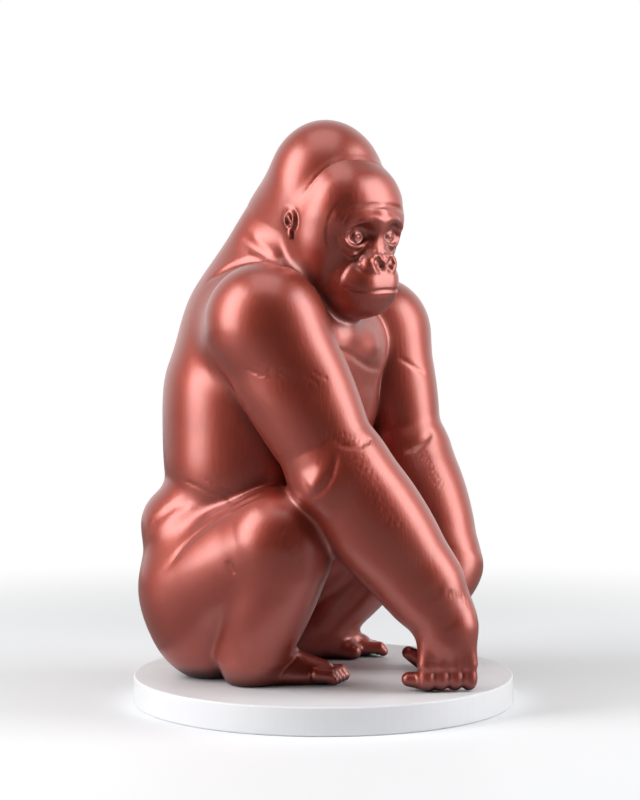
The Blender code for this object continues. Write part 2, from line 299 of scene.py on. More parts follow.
def probe(axes, depth, points):
    """The field at any points, read between the points of the grid."""
    base = []
    share = []
    for k in range(3):
        n = np.clip(np.searchsorted(axes[k], points[:, k]) - 1, 0, len(axes[k]) - 2)
        base.append(n)
        share.append(np.clip((points[:, k] - axes[k][n]) / (axes[k][n + 1] - axes[k][n]), 0.0, 1.0))
    total = 0.0
    for code in range(8):
        weight = 1.0
        at = []
        for k in range(3):
            bit = (code >> k) & 1
            at.append(base[k] + bit)
            weight = weight * (share[k] if bit else 1.0 - share[k])
        total = total + weight * depth[tuple(at)]
    return total


def slope(axes, depth, points, step):
    """The outward direction and steepness of the field at the points."""
    parts = []
    for k in range(3):
        shift = np.zeros(3)
        shift[k] = step
        parts.append((probe(axes, depth, points + shift) - probe(axes, depth, points - shift)) / (2.0 * step))
    return np.stack(parts, axis=1)


def smooth_line(points, spacing):
    """A Catmull-Rom curve through the points, as closely spaced points."""
    points = np.asarray(points, dtype=float)
    ends = np.vstack([2 * points[0] - points[1], points, 2 * points[-1] - points[-2]])
    out = []
    for i in range(len(points) - 1):
        p0, p1, p2, p3 = ends[i : i + 4]
        count = max(2, int(np.ceil(np.linalg.norm(p2 - p1) / spacing)))
        t = np.linspace(0.0, 1.0, count, endpoint=False)[:, None]
        bend = 2 * p0 - 5 * p1 + 4 * p2 - p3
        twist = 3 * p1 - p0 - 3 * p2 + p3
        out.append(0.5 * (2 * p1 + (p2 - p0) * t + bend * t**2 + twist * t**3))
    out.append(points[-1:])
    return np.vstack(out)


class Stroke:
    """A groove or ridge drawn along a line that is first dropped onto the surface."""

    def __init__(self, points, height, width):
        self.points = smooth_line(points, 1.2)
        self.height = height
        self.width = width

    def box(self):
        reach = 3.0 * self.width + 3.0
        return self.points.min(axis=0) - reach, self.points.max(axis=0) + reach

    def draw(self, axes, depth):
        part, axes = window(axes, self.box(), 0.0)
        depth = depth[part]
        if min(depth.shape) < 4:
            return
        line = self.points.copy()
        for _ in range(4):
            rise = slope(axes, depth, line, 0.8)
            steep = np.maximum((rise**2).sum(axis=1), 0.2)
            line -= rise * np.clip(probe(axes, depth, line) / steep, -2.0, 2.0)[:, None]
        near = np.argwhere(np.abs(depth) < 2.5 * self.width + 1.5)
        if len(near) == 0:
            return
        spots = np.stack([axis[near[:, k]] for k, axis in enumerate(axes)], axis=1)
        gap = np.full(len(spots), 1e6, dtype=np.float32)
        along = np.zeros(len(spots), dtype=np.float32)
        count = max(len(line) - 1, 1)
        for i in range(count):
            span = line[i + 1] - line[i]
            share = np.clip((spots - line[i]) @ span / max(span @ span, 1e-9), 0.0, 1.0)
            reach = ((spots - line[i] - share[:, None] * span) ** 2).sum(axis=1)
            closer = reach < gap
            gap[closer] = reach[closer]
            along[closer] = (i + share[closer]) / count
        taper = np.clip(np.minimum(along, 1.0 - along) * 5.0, 0.15, 1.0)
        depth[tuple(near.T)] -= self.height * taper * np.exp(-gap / self.width**2)


def skin(axes, depth):
    """The zero level of the grid as quads, one point for each cell that the surface passes through."""
    shape = np.array(depth.shape)
    inside = depth < 0.0
    cell_shape = shape - 1
    cells = np.prod(cell_shape)
    sums = np.zeros((3, cells))
    counts = np.zeros(cells)
    quads = []
    for k in range(3):
        m, n = (k + 1) % 3, (k + 2) % 3
        low = [slice(None)] * 3
        high = [slice(None)] * 3
        low[k], high[k] = slice(0, -1), slice(1, None)
        cross = inside[tuple(low)] != inside[tuple(high)]
        at = np.argwhere(cross)
        at = at[(at[:, m] > 0) & (at[:, n] > 0) & (at[:, m] < shape[m] - 1) & (at[:, n] < shape[n] - 1)]
        after = at.copy()
        after[:, k] += 1
        a = depth[tuple(at.T)]
        b = depth[tuple(after.T)]
        share = a / (a - b)
        place = np.stack([axis[at[:, j]] for j, axis in enumerate(axes)], axis=1).astype(float)
        place[:, k] += share * (axes[k][after[:, k]] - axes[k][at[:, k]])
        ring = []
        for dm, dn in ((0, 0), (1, 0), (1, 1), (0, 1)):
            c = at.copy()
            c[:, m] -= dm
            c[:, n] -= dn
            number = np.ravel_multi_index(tuple(c.T), cell_shape)
            ring.append(number)
            counts += np.bincount(number, minlength=cells)
            for j in range(3):
                sums[j] += np.bincount(number, weights=place[:, j], minlength=cells)
        ring = np.stack(ring, axis=1)
        flip = b > a
        ring[flip] = ring[flip][:, ::-1]
        quads.append(ring)
    quads = np.concatenate(quads)[:, ::-1]
    used, quads = np.unique(quads.ravel(), return_inverse=True)
    points = (sums[:, used] / counts[used]).T
    return points, quads.reshape(-1, 4)


def graded(stops):
    """Grid positions from stops of (position, spacing): the spacing holds up to the next stop."""
    out = []
    for (a, step), (b, _) in zip(stops[:-1], stops[1:]):
        count = max(1, int(round((b - a) / step)))
        out.append(np.linspace(a, b, count, endpoint=False))
    out.append([stops[-1][0]])
    return np.concatenate(out).astype(np.float32)


def trunk():
    """Pelvis, belly, ribs, shoulders and nape."""
    lump = Lump()
    lump.add(Ball((-8, 46, 56), (46, 42, 52)))
    lump.add(Ball((-33, 54, 79), (32, 33, 25)), 10)
    lump.add(Ball((22, 58, 76), (34, 33, 27)), 10)
    lump.add(Ball(RIGHT_HIP + (5, -1, -1), (36, 36, 48.5)), 10)
    lump.add(Ball(LEFT_HIP + (-4, 4, -1), (37, 36, 49)), 12)
    body = Lump()
    body.add(Ball((-4, 36, 106), (60, 46, 46)))
    body.add(Ball((0, 36, 146), (63.5, 49.5, 52)), 20)
    body.add(Ball((2, 24, 182), (62, 43, 34)), 18)
    body.add(Ball((4, 8, 150), (46, 32, 44)), 16)
    lump.add(body, 7)
    lump.add(Ball(RIGHT_SHOULDER, SHOULDER_RADIUS), 18)
    lump.add(Ball(LEFT_SHOULDER, SHOULDER_RADIUS), 8)
    lump.add(Limb((-4, 31, 190), HEAD_CENTRE + (7.0, 14.5, -1.0), (36.5, 31), belly=1), 22)
    lump.add(Ball((-20, -2, 172), (28, 22, 24)), 14)
    lump.add(Ball((12, -6, 173), (30, 21, 22)), 10)
    chest = Lump()
    chest.add(Ball((-17, -15, 178), (16, 12, 11.5)))
    chest.add(Ball((1, -17, 172.5), (15, 13, 11.5)), 8)
    lump.add(chest, 3)
    return lump


# Lines of the face in the head's own frame: of a pair the left one, of the mouth the right half
NOSE_WING = (
    (4.5, -43.0, -14.2),
    (8.5, -40.0, -14.8),
    (11.8, -37.0, -18.5),
    (12.0, -36.5, -23.5),
    (9.0, -39.0, -28.0),
)
NOSTRIL = ((7.4, -44.0, -20.6), (5.4, -45.5, -21.6), (3.6, -46.0, -23.6), (2.4, -46.3, -25.8))
NOSTRIL_RIM = (
    (1.2, -46.8, -21),
    (4.6, -46.6, -18.4),
    (8.8, -44, -18.8),
    (9.6, -42.5, -22.2),
    (6.8, -43.5, -26.2),
    (3.0, -45.6, -28.0),
)
NOSE_GROOVE = ((0, -43, -15.5), (0, -45, -18.5), (0, -46, -21.5))
MOUTH_HALF = (
    (-16.5, -29.5, -31.6),
    (-16.5, -33.5, -33.2),
    (-14.0, -38.0, -35.0),
    (-7.0, -43.0, -36.0),
    (0.0, -44.0, -35.8),
)
BROW_CREASE = (
    (-20, -37, 4.5),
    (-14, -42.5, 6.0),
    (-7, -45, 6.6),
    (0, -45.6, 6.4),
    (7, -45, 6.2),
    (14, -42.5, 5.4),
    (20, -37, 3.5),
)
BROW_RIDGE = (
    (21, -34, -3.0),
    (17, -38, -1.6),
    (12, -42, -0.4),
    (7, -44.5, 0.0),
    (3, -45.5, -0.6),
    (0.5, -45.5, -1.6),
)
BROW_WRINKLES = (1.8, 3.0, 4.2, 5.4)
TEMPLE_ARCS = (13.5, 15.3, 17.1, 18.9, 20.7)
MUZZLE_FOLD = (
    (8.5, -39.5, -13.5),
    (12.0, -37, -17),
    (14.8, -34, -21.5),
    (16.3, -30.5, -27),
    (16.5, -28.5, -33),
)
CHEEK_HOLLOW = ((15, -37, -14.5), (20, -33, -19), (22.5, -27.5, -28), (22.5, -24, -37))
NOSE_FOLD = ((14.5, -37.5, -19.0), (11.5, -39.5, -21.0), (9.5, -40.0, -24.5))


def eye(lump, pose, side):
    """An eyeball in its socket, with lids, a bag and rings for the iris; side is -1 on the head's right."""

    def around(points, depth):
        return [pose.at(side * (0.5 * EYE_SPACING - x), depth, EYE_HEIGHT + z) for x, z in points]

    socket = pose.at(side * (0.5 * EYE_SPACING + 1.2), -45.5, EYE_HEIGHT + 0.1)
    lump.cut(Ball(socket, (9.8, 9.8, 6.6), pose.axes), 2.5)
    lump.add(Ball(pose.at(0.5 * side * EYE_SPACING, -32.6, EYE_HEIGHT), EYE_RADIUS + 0.3), 1)
    upper_lid = around([(-8.8, -0.5), (-6.0, 2.8), (-1, 4.3), (3.5, 3.6), (6.5, 1.0), (8.0, -2.2)], -37)
    lower_lid = around([(-8.8, -0.8), (-6.8, -3.7), (-1.5, -5.3), (3.5, -4.6), (8.0, -2.4)], -37)
    lump.stroke(upper_lid, 1.3, 1.1)
    lump.stroke(lower_lid, 0.9, 1.0)
    lump.stroke(around([(-9.0, -2.4), (-6.5, -5.6), (-1.0, -7.2), (5.0, -6.2)], -36.5), -0.5, 0.8)
    bag = around([(-9.5, -3.8), (-6.0, -7.6), (-0.5, -9.2), (5.0, -8.0), (8.5, -5.2)], -36.5)
    lump.stroke(bag, 0.6, 1.3)
    lump.stroke(around([(-10.5, -6.5), (-7.0, -10.6), (-0.5, -12.2), (6.0, -10.6)], -36.5), -0.5, 1.5)
    outer_corner = around([(-10.3, 1.5), (-11.5, -2.0), (-10.5, -6.5)], -35)
    lump.stroke(outer_corner, -0.9, 1.5)
    # Iris and pupil
    for radius, height in ((3.6, -0.55), (1.7, -0.5)):
        turn = np.linspace(0.0, 2.0 * np.pi, 15)
        ring = [(0.3 + radius * np.cos(t), radius * np.sin(t)) for t in turn]
        lump.stroke(around(ring, -37.8), height, 0.55)


def nose(lump, pose):
    """Broad, low, with rolled wings around open nostrils."""
    axes = pose.axes
    for side in (-1, 1):
        lump.add(Ball(pose.at(5.6 * side, -40.0, -22.0), (5.6, 5.0, 5.6), axes), 3)
    lump.add(Ball(pose.at(0, -41.5, -20.5), (3.6, 4.2, 5.2), axes), 2.5)
    for side in (-1, 1):
        lump.stroke(pose.line(NOSE_WING, side), -0.8, 1.3)
        lump.stroke(pose.line(NOSTRIL, side), -6.5, 1.7)
        lump.stroke(pose.line(NOSTRIL_RIM, side), 0.2, 0.9)
    lump.stroke(pose.line(NOSE_GROOVE), -3.0, 1.6)


def mouth(lump, pose):
    """The line of the lips, the lower lip's edge and the hollow above the chin."""
    line = [*MOUTH_HALF, *((-x, y, z) for x, y, z in MOUTH_HALF[-2::-1])]
    lump.stroke(pose.line(line), -0.9, 0.65)
    lump.stroke([pose.at(x, y, z - 1.2) for x, y, z in line[1:-1]], 0.35, 0.55)
    lump.stroke([pose.at(x, y, z - 8.5) for x, y, z in line[2:-2]], -0.5, 3.0)


def ear(lump, pose, side):
    """A rolled rim around a deep hollow, with a lobe below; side is -1 on the head's right."""
    flank = side * SKULL_HALF_WIDTH
    half = 0.5 * EAR_HEIGHT
    axes = pose.axes
    lump.add(Ball(pose.at(flank, -9.5, 1.5), (3.6, 4.4, 0.6 * half), axes), 1.2)
    lump.cut(Ball(pose.at(flank + 3.8 * side, -9.6, 2.2), (4.6, 2.7, 0.46 * half), axes), 0.5)
    proud = flank + 1.2 * side
    lump.add(Limb(pose.at(proud, -8.4, 4.4), pose.at(proud, -10.4, 0.5), (0.7, 0.6)), 0.5)
    turn = np.radians(np.arange(-50.0, 241.0, 24.0))
    rim = [(flank, -9.5 + 5.4 * np.cos(t), 1.5 + 0.75 * half * np.sin(t)) for t in turn]
    lump.stroke(pose.line(rim), -0.7, 0.9)
    lump.add(Ball(pose.at(flank + 1.4 * side, -9.2, -0.55 * half), (1.6, 1.7, 0.34 * half), axes), 0.6)


def brow(lump, pose):
    """The skin folded over a heavy ridge, and hair swept round the temples."""
    lump.stroke(pose.line(BROW_CREASE), -1.1, 1.3)
    for side in (-1, 1):
        lump.stroke(pose.line(BROW_RIDGE, side), 0.7, 1.4)
        for step in BROW_WRINKLES:
            wrinkle = [(x, y, z + step) for x, y, z in BROW_RIDGE[1:5]]
            lump.stroke(pose.line(wrinkle, side), -0.4, 0.5)
        for reach in TEMPLE_ARCS:
            turn = np.radians(np.arange(100.0, 240.0, 12.0))
            aside = 0.74 * reach * np.cos(turn)
            height = EYE_HEIGHT + reach * np.sin(turn)
            arc = [(0.5 * EYE_SPACING - a, -38.5 + 0.03 * a * a, z) for a, z in zip(aside, height)]
            lump.stroke(pose.line(arc, side), -0.75, 0.75)


def head():
    """The face and forehead, in front of the crest that the trunk's nape runs up to."""
    pose = Pose(HEAD_CENTRE, HEAD_FORWARD, HEAD_UP)
    axes = pose.axes
    lump = Lump()
    lump.add(Ball(pose.at(0, -16, 1), (SKULL_HALF_WIDTH + 0.5, 28, 27), axes))
    for x in (-10.5, 10.5, 0.0):
        lump.add(Ball(pose.at(x, -26, 8.0), (15.5, 15.5, 20.5), axes), 9)
    # Cheeks and jaw
    lump.add(Ball(pose.at(0, -12, -20), (SKULL_HALF_WIDTH - 2, 23.5, 26), axes), 12)
    lump.add(Ball(pose.at(0, -18, -31), (22, 19.5, 17.5), axes), 10)
    lump.add(Ball(pose.at(0, -19, -10), (25.5, 17.5, 14), axes), 8)
    # Brow
    for side in (-1, 1):
        lump.add(Limb(pose.at(0, -37.2, 0.8), pose.at(17.5 * side, -32, 0.2), (7.8, 6.8)), 4)
    # Muzzle and the root of the nose
    reach = 0.28 * MUZZLE_HALF_WIDTH
    lump.add(Limb(pose.at(-reach, -31.4, -30.5), pose.at(reach, -31.4, -30.5), (12.4, 12.4)), 4)
    lump.add(Ball(pose.at(0, -27.5, -38.5), (MUZZLE_HALF_WIDTH - 2.5, 14, 10.5), axes), 6)
    lump.add(Limb(pose.at(0, -29.5, -4), pose.at(0, -34.0, -17), (7.0, 7.0)), 6)
    for side in (-1, 1):
        eye(lump, pose, side)
    nose(lump, pose)
    mouth(lump, pose)
    brow(lump, pose)
    # Folds that part the muzzle from the cheeks
    for side in (-1, 1):
        lump.stroke(pose.line(MUZZLE_FOLD, side), -0.6, 1.4)
        lump.stroke(pose.line(CHEEK_HOLLOW, side), -1.4, 4.0)
        lump.stroke(pose.line(NOSE_FOLD, side), -0.4, 0.8)
        ear(lump, pose, side)
    return lump


def crest():
    """The hump over and behind the forehead."""
    pose = Pose(HEAD_CENTRE, HEAD_FORWARD, HEAD_UP)
    tall = 37.0
    middle = pose.at(1, -4.5, CREST_HEIGHT - tall)
    return Ball(middle, (CREST_RADIUS - 1, CREST_RADIUS - 3, tall), pose.axes)


def arm(shoulder, elbow, forearm, wrist, bulk):
    """Shoulder to wrist; bulk is the upper arm's share of its full girth."""
    lump = Lump()
    lump.add(Ball(shoulder, SHOULDER_RADIUS))
    above = elbow + 0.16 * (shoulder - elbow)
    upper = (bulk * (SHOULDER_RADIUS - 0.5), bulk * UPPER_ARM_RADIUS)
    lump.add(Limb(shoulder + 0.12 * (elbow - shoulder), above, upper, belly=1.5), 8)
    lump.add(Ball(elbow, bulk * ELBOW_RADIUS), 6)
    below = elbow + 0.1 * (forearm - elbow)
    lump.add(Limb(below, forearm, (FOREARM_RADIUS, LOWER_FOREARM_RADIUS), belly=3.0), 8)
    lump.add(Limb(forearm, wrist - (0, 0, 2), (LOWER_FOREARM_RADIUS, WRIST_RADIUS)), 8)
    return lump


def hand(wrist, outward, thumb):
    """Four fingers folded on to the ground and a thumb, given by its root and tip in the hand's own frame."""
    pose = Pose(wrist, outward)
    side = np.sign(thumb[1][0])
    lump = Lump()
    palm = (WRIST_RADIUS - 1.5, WRIST_RADIUS - 3.0)
    lump.add(Limb(pose.at(0, 0, 2), pose.at(0, -1, -7), palm, flat=(pose.axes[1], 0.85)), 6)
    for number in range(4):
        x = side * ((1.5 - number) * FINGER_PITCH - 0.6)
        y = FINGER_STAGGER * (number - 3)
        knuckle = pose.at(x, y - 1.5, -21.5)
        lump.add(Limb(pose.at(0.6 * x, -1, -5), knuckle, (FINGER_RADIUS + 4.0, FINGER_RADIUS + 0.6)), 2.5)
        lump.add(Limb(knuckle, pose.at(x, y - 0.5, -31), (FINGER_RADIUS, FINGER_RADIUS - 0.5)), 0.5)
        lump.add(Ball(pose.at(x, y - 1.0, -29.0), (3.8, 4.2, 4.5), pose.axes), 3)
    root, tip = thumb
    lump.add(Limb(pose.at(*root), pose.at(*tip), (THUMB_RADIUS + 0.8, THUMB_RADIUS - 0.7)), 1.5)
    return lump


def thigh(hip, knee):
    """Hip to knee, with a rounded kneecap."""
    lump = Lump()
    lump.add(Limb(hip, knee + (0.5, 2, 1.5), (HIP_RADIUS, KNEE_RADIUS + 1.0), belly=2))
    lump.add(Ball(knee, KNEE_RADIUS), 8)
    return lump


def calf(knee, ankle, heel, forward, big_toe_side, girth):
    """Knee to toes; big_toe_side is 1 where the big toe lies on the foot's own left."""
    lump = Lump()
    lump.add(Limb(knee + (0, 0, -9), ankle, (CALF_RADIUS, girth), belly=1.5))
    lump.add(Limb(ankle, 0.5 * (ankle + heel), (girth, 0.7 * girth)), 6)
    pose = Pose(heel, forward)
    side = big_toe_side
    toes = 12.0 - FOOT_LENGTH
    lump.add(Ball(pose.at(0, 0, HEEL_RADIUS - 2.0), HEEL_RADIUS), 8)
    lump.add(Limb(pose.at(-5 * side, 0, 5), pose.at(-4 * side, toes, 3.8), (6.5, 4.4)), 5)
    lump.add(Limb(pose.at(2 * side, -6, 12), pose.at(side, toes + 1, 6), (HEEL_RADIUS, 5.8)), 8)
    for number in range(4):
        x = side * (number - 2) * TOE_PITCH
        reach = toes - 3.0 - TOE_STAGGER * number
        joint = pose.at(x, reach, 5.0)
        lump.add(Limb(pose.at(x, toes + 3, 5.6), joint, (TOE_RADIUS + 0.4, TOE_RADIUS + 0.2)), 1.0)
        lump.add(Limb(joint, pose.at(x, reach - 2.2, 3.0), (TOE_RADIUS + 0.2, TOE_RADIUS - 0.4)), 0.6)
    lump.add(Limb(pose.at(4 * side, 0.45 * toes, 6), pose.at(12 * side, 0.8 * toes, 4.5), (6.5, 4.6)), 4)
    return lump


def gorilla():
    """Trunk first, then head, arms and legs, each pressed on to what is there."""
    lump = Lump()
    lump.add(trunk())
    lump.add(crest(), 12)
    lump.add(head(), 4)
    lump.add(arm(RIGHT_SHOULDER, RIGHT_ELBOW, RIGHT_FOREARM, RIGHT_WRIST, 1.0), 3)
    # The point of the near elbow
    lump.add(Ball(RIGHT_ELBOW + (-13, 1, -9), (12.5, 12.5, 11)), 6)
    lump.add(hand(RIGHT_WRIST, RIGHT_HAND_OUTWARD, RIGHT_THUMB), 6)
    lump.add(arm(LEFT_SHOULDER, LEFT_ELBOW, LEFT_FOREARM, LEFT_WRIST, FAR_ARM_BULK), 3)
    lump.add(hand(LEFT_WRIST, LEFT_HAND_OUTWARD, LEFT_THUMB), 6)
    lump.add(thigh(RIGHT_HIP, RIGHT_KNEE), 5)
    lump.add(calf(RIGHT_KNEE, RIGHT_ANKLE, RIGHT_HEEL, RIGHT_FOOT_FORWARD, 1, ANKLE_RADIUS), 3)
    lump.add(thigh(LEFT_HIP, LEFT_KNEE), 5)
    lump.add(calf(LEFT_KNEE, LEFT_ANKLE, LEFT_HEEL, LEFT_FOOT_FORWARD, -1, FAR_ANKLE_RADIUS), 3)
    return lump


def seen_from_camera(axes, depth, spots):
    """Where sight lines meet the surface; spots lie to the right and up on the plane through the disc."""
    eye_place = ACROSS * VIEW_SHIFT + TOWARD * VIEW_DISTANCE + UPRIGHT * (VIEW_HEIGHT - SEAT_HEIGHT)
    steps = np.arange(VIEW_DISTANCE - 115.0, VIEW_DISTANCE + 115.0, 0.5)
    found = []
    for right, up in spots:
        way = unit(ACROSS * right + UPRIGHT * up - eye_place)
        line = eye_place + steps[:, None] * way
        inside = probe(axes, depth, line) < 0.0
        if inside.any():
            found.append(line[np.argmax(inside)])
    return found


def tuft(start, end, lean, count):
    """Short strokes of hair, side by side from start to end, each one lying along lean."""
    start = np.array(start)
    end = np.array(end)
    lean = 0.5 * np.array(lean)
    middles = [start + (end - start) * i / (count - 1) for i in range(count)]
    swing = [0.3 * math.sin(7.0 * i) for i in range(count)]
    return [[m - (1.0 + s) * lean, m + (0.15 * s, 0.0), m + (1.0 - s) * lean] for m, s in zip(middles, swing)]


# Folds of skin as the camera sees them: a stroke's height and width in mm, then its places in mm to the right
# and up on the plane through the disc's middle that faces the camera
ELBOW_FOLDS = (
    (-0.8, 1.6, [(7, 118), (6, 110), (3.5, 102), (-1, 95.5), (-8, 91.5)]),
    (0.7, 4.0, [(1, 109), (-3, 101.5), (-8, 96)]),
    (-0.6, 1.6, [(4, 123), (11, 119.5), (18, 119), (22.5, 121.5), (26, 124)]),
)
UPPER_ARM_FOLDS = (
    (-0.9, 8.0, [(-56, 155), (-41.5, 156), (-25.5, 154), (-9.5, 152.5), (6, 150)]),
    (-0.45, 0.7, [(-40.5, 161.5), (-35.5, 157.5), (-29.5, 155.5), (-22.5, 154.5)]),
    (-0.4, 0.7, [(-34.5, 162), (-28, 159), (-21.5, 156)]),
    (-0.35, 0.6, [(-25, 161), (-17.5, 156.5)]),
    (-0.35, 0.6, [(-12.5, 157.5), (-6, 154.5), (-2, 150)]),
    (-0.35, 0.6, [(-6.5, 159), (-1, 156), (3, 154.5)]),
)
FAR_ARM_FOLDS = (
    (-0.6, 1.2, [(38.5, 166.5), (43.5, 164), (49, 160.5), (54.5, 157)]),
    (-1.0, 2.0, [(42, 115), (48, 119.5), (53.5, 122.5), (58, 127.5)]),
)
CHEST_FOLDS = (
    (-0.8, 1.6, [(6.5, 172), (12.5, 168.5), (18.5, 165), (24, 161.5), (31, 160)]),
)
SHOULDER_FOLDS = ((-1.8, 2.0, [(-60, 207.5), (-46.8, 215), (-31, 216.5), (-19, 212.5)]),)
ANKLE_FOLDS = ((-0.7, 1.1, [(-24, -4.4), (-19.5, 2), (-13.4, 7.8)]),)
NECK_FOLDS = (
    (-0.9, 3.0, [(-46, 233), (-39, 226.5), (-30.5, 219), (-21, 212)]),
    (0.4, 2.2, [(-46, 239), (-39, 232.5), (-30.5, 225), (-22, 218)]),
)
FOREHEAD_EDGE = [(-12, 249), (-10, 252.5), (-6, 258), (0.5, 265), (7.5, 269), (15, 270.5)]
FOREHEAD_EDGE += [(23, 270), (30, 267.5), (34.5, 263.5)]
HEAD_FOLDS = ((-0.4, 1.0, FOREHEAD_EDGE),)
HIP_FOLDS = (
    (-0.8, 2.0, [(-85, 52), (-80, 58), (-74, 66), (-64, 75), (-52, 83.5), (-39, 90.5), (-28.5, 94)]),
    (-0.7, 1.8, [(-50.5, 59), (-49, 55), (-46.5, 51)]),
    (-0.4, 0.7, [(-61.5, 45), (-58, 41.5), (-53.5, 38)]),
    (-0.5, 1.0, [(-77, 102.5), (-68, 98.5), (-57.5, 93.5), (-44, 90.5)]),
    (-0.4, 0.8, [(-65.5, 103.5), (-56, 98.5), (-45, 94)]),
    (-0.7, 3.0, [(-93, 75), (-85.5, 82), (-78, 87.5), (-69.5, 88.5)]),
)
HAND_FOLDS = ((-0.4, 0.6, [(55.5, 5), (60, 4.5)]),)


FOLDS = (
    *ELBOW_FOLDS,
    *UPPER_ARM_FOLDS,
    *FAR_ARM_FOLDS,
    *CHEST_FOLDS,
    *SHOULDER_FOLDS,
    *ANKLE_FOLDS,
    *NECK_FOLDS,
    *HEAD_FOLDS,
    *HIP_FOLDS,
    *HAND_FOLDS,
)

# Tufts of hair on the same plane: where the first and last hair lie, which way and how long each is, how many
TUFTS = (
    ((15, 112), (34, 78), (-3.0, -7.0), 12),
    ((20, 112), (40, 76), (-2.5, -6.0), 10),
    ((50, 118), (62, 98), (-3.5, -5.0), 10),
    ((51.5, 36), (62, 42), (-2.0, -7.0), 7),
    ((66, 41), (76, 37), (1.5, -5.0), 6),
    ((-22, 74), (-11, 56), (-4.0, -5.0), 6),
    ((2, 124), (24, 122), (-2.0, -5.0), 9),
    ((-44, 160), (-10, 152), (5.0, -3.0), 7),
)
HAIR_HEIGHT = -0.3
HAIR_WIDTH = 0.6


def folds():
    """All the folds and tufts that lie across the joined masses, as height, width and places."""
    yield from FOLDS
    for start, end, lean, count in TUFTS:
        for hair in tuft(start, end, lean, count):
            yield HAIR_HEIGHT, HAIR_WIDTH, hair


def carved():
    """The grid, and the whole figure's field on it with every fold drawn in."""
    axes = [graded(stops) for stops in (GRID_X, GRID_Y, GRID_Z)]
    depth = gorilla().field(axes)
    depth = np.maximum(depth, -axes[2][None, None, :])
    for height, width, spots in folds():
        places = seen_from_camera(axes, depth, spots)
        if len(places) > 1:
            Stroke(places, height, width).draw(axes, depth)
    return axes, depth


def thinned(thing, share):
    """The object's mesh with only this share of its triangles."""
    thin = thing.modifiers.new("fewer triangles", "DECIMATE")
    thin.ratio = min(1.0, share)
    thin.use_collapse_triangulate = True
    evaluated = thing.evaluated_get(bpy.context.evaluated_depsgraph_get())
    small = bpy.data.meshes.new_from_object(evaluated)
    thing.modifiers.remove(thin)
    return small


def add_figure():
    axes, depth = carved()
    points, faces = skin(axes, depth)
    points[:, 2] = np.maximum(points[:, 2], 0.0)
    lift = np.array((0.0, 0.0, SEAT_HEIGHT))
    mesh = bpy.data.meshes.new("gorilla_casting")
    mesh.from_pydata(((points + lift) * MM).tolist(), [], faces.tolist())
    casting = bpy.data.objects.new("gorilla_casting", mesh)
    bpy.context.scene.collection.objects.link(casting)
    small = thinned(casting, TRIANGLES / (2.0 * len(faces)))
    casting.data = small
    # Shaded by the field's own slope, which is smoother than the triangles
    spots = np.empty(3 * len(small.vertices), dtype=np.float32)
    small.vertices.foreach_get("co", spots)
    rise = slope(axes, depth, spots.reshape(-1, 3) / MM - lift, 0.6)
    rise /= np.maximum(np.linalg.norm(rise, axis=1), 1e-6)[:, None]
    small.shade_smooth()
    small.normals_split_custom_set_from_vertices(rise.tolist())
    return casting


def nodes_of(material):
    material.use_nodes = True
    tree = material.node_tree
    return tree, tree.nodes["Principled BSDF"]


def noise(tree, scale, detail, stretch=(1.0, 1.0, 1.0)):
    """A noise texture in object space, drawn out along an axis by a stretch below 1."""
    place = tree.nodes.new("ShaderNodeTexCoord")
    mapping = tree.nodes.new("ShaderNodeMapping")
    mapping.inputs["Scale"].default_value = stretch
    texture = tree.nodes.new("ShaderNodeTexNoise")
    texture.inputs["Scale"].default_value = scale
    texture.inputs["Detail"].default_value = detail
    tree.links.new(place.outputs["Object"], mapping.inputs["Vector"])
    tree.links.new(mapping.outputs["Vector"], texture.inputs["Vector"])
    return texture.outputs["Fac"]


def ranged(tree, value, low, high):
    spread = tree.nodes.new("ShaderNodeMapRange")
    spread.inputs["From Min"].default_value = 0.3
    spread.inputs["From Max"].default_value = 0.7
    spread.inputs["To Min"].default_value = low
    spread.inputs["To Max"].default_value = high
    tree.links.new(value, spread.inputs["Value"])
    return spread.outputs["Result"]


def mixed(tree, factor, one, two):
    mix = tree.nodes.new("ShaderNodeMix")
    mix.data_type = "RGBA"
    tree.links.new(factor, mix.inputs["Factor"])
    mix.inputs["A"].default_value = (*one, 1.0)
    mix.inputs["B"].default_value = (*two, 1.0)
    return mix.outputs["Result"]


def bumped(tree, height, strength, distance, under=None):
    bump = tree.nodes.new("ShaderNodeBump")
    bump.inputs["Strength"].default_value = strength
    bump.inputs["Distance"].default_value = distance
    tree.links.new(height, bump.inputs["Height"])
    if under is not None:
        tree.links.new(under, bump.inputs["Normal"])
    return bump.outputs["Normal"]


def copper_paint():
    """Metallic copper red lacquer with painted shade in the folds, over a surface combed with fine hair."""
    material = bpy.data.materials.new("copper red metallic paint")
    tree, shader = nodes_of(material)
    # Painted shade: ambient occlusion darkens the copper colour and thins the coat in folds and hollows
    painted_fold_shade = tree.nodes.new("ShaderNodeAmbientOcclusion")
    painted_fold_shade.samples = 8
    painted_fold_shade.inputs["Distance"].default_value = PAINTED_SHADE_DEPTH * MM
    copper = mixed(tree, noise(tree, 45.0, 4.0), *COPPER_COLOURS)
    tree.links.new(copper, painted_fold_shade.inputs["Color"])
    tree.links.new(painted_fold_shade.outputs["Color"], shader.inputs["Base Color"])
    tree.links.new(ranged(tree, painted_fold_shade.outputs["AO"], 0.2, 1.0), shader.inputs["Coat Weight"])
    tree.links.new(ranged(tree, noise(tree, 160.0, 5.0), 0.44, 0.52), shader.inputs["Roughness"])
    shader.inputs["Metallic"].default_value = 0.75
    shader.inputs["Coat IOR"].default_value = 1.7
    shader.inputs["Coat Roughness"].default_value = 0.32
    hair = noise(tree, 700.0, 3.0, (1.0, 1.0, 0.12))
    combed = bumped(tree, hair, 0.5, 0.0003)
    normal = bumped(tree, noise(tree, 2600.0, 2.0), 0.2, 0.0001, combed)
    tree.links.new(normal, shader.inputs["Normal"])
    return material


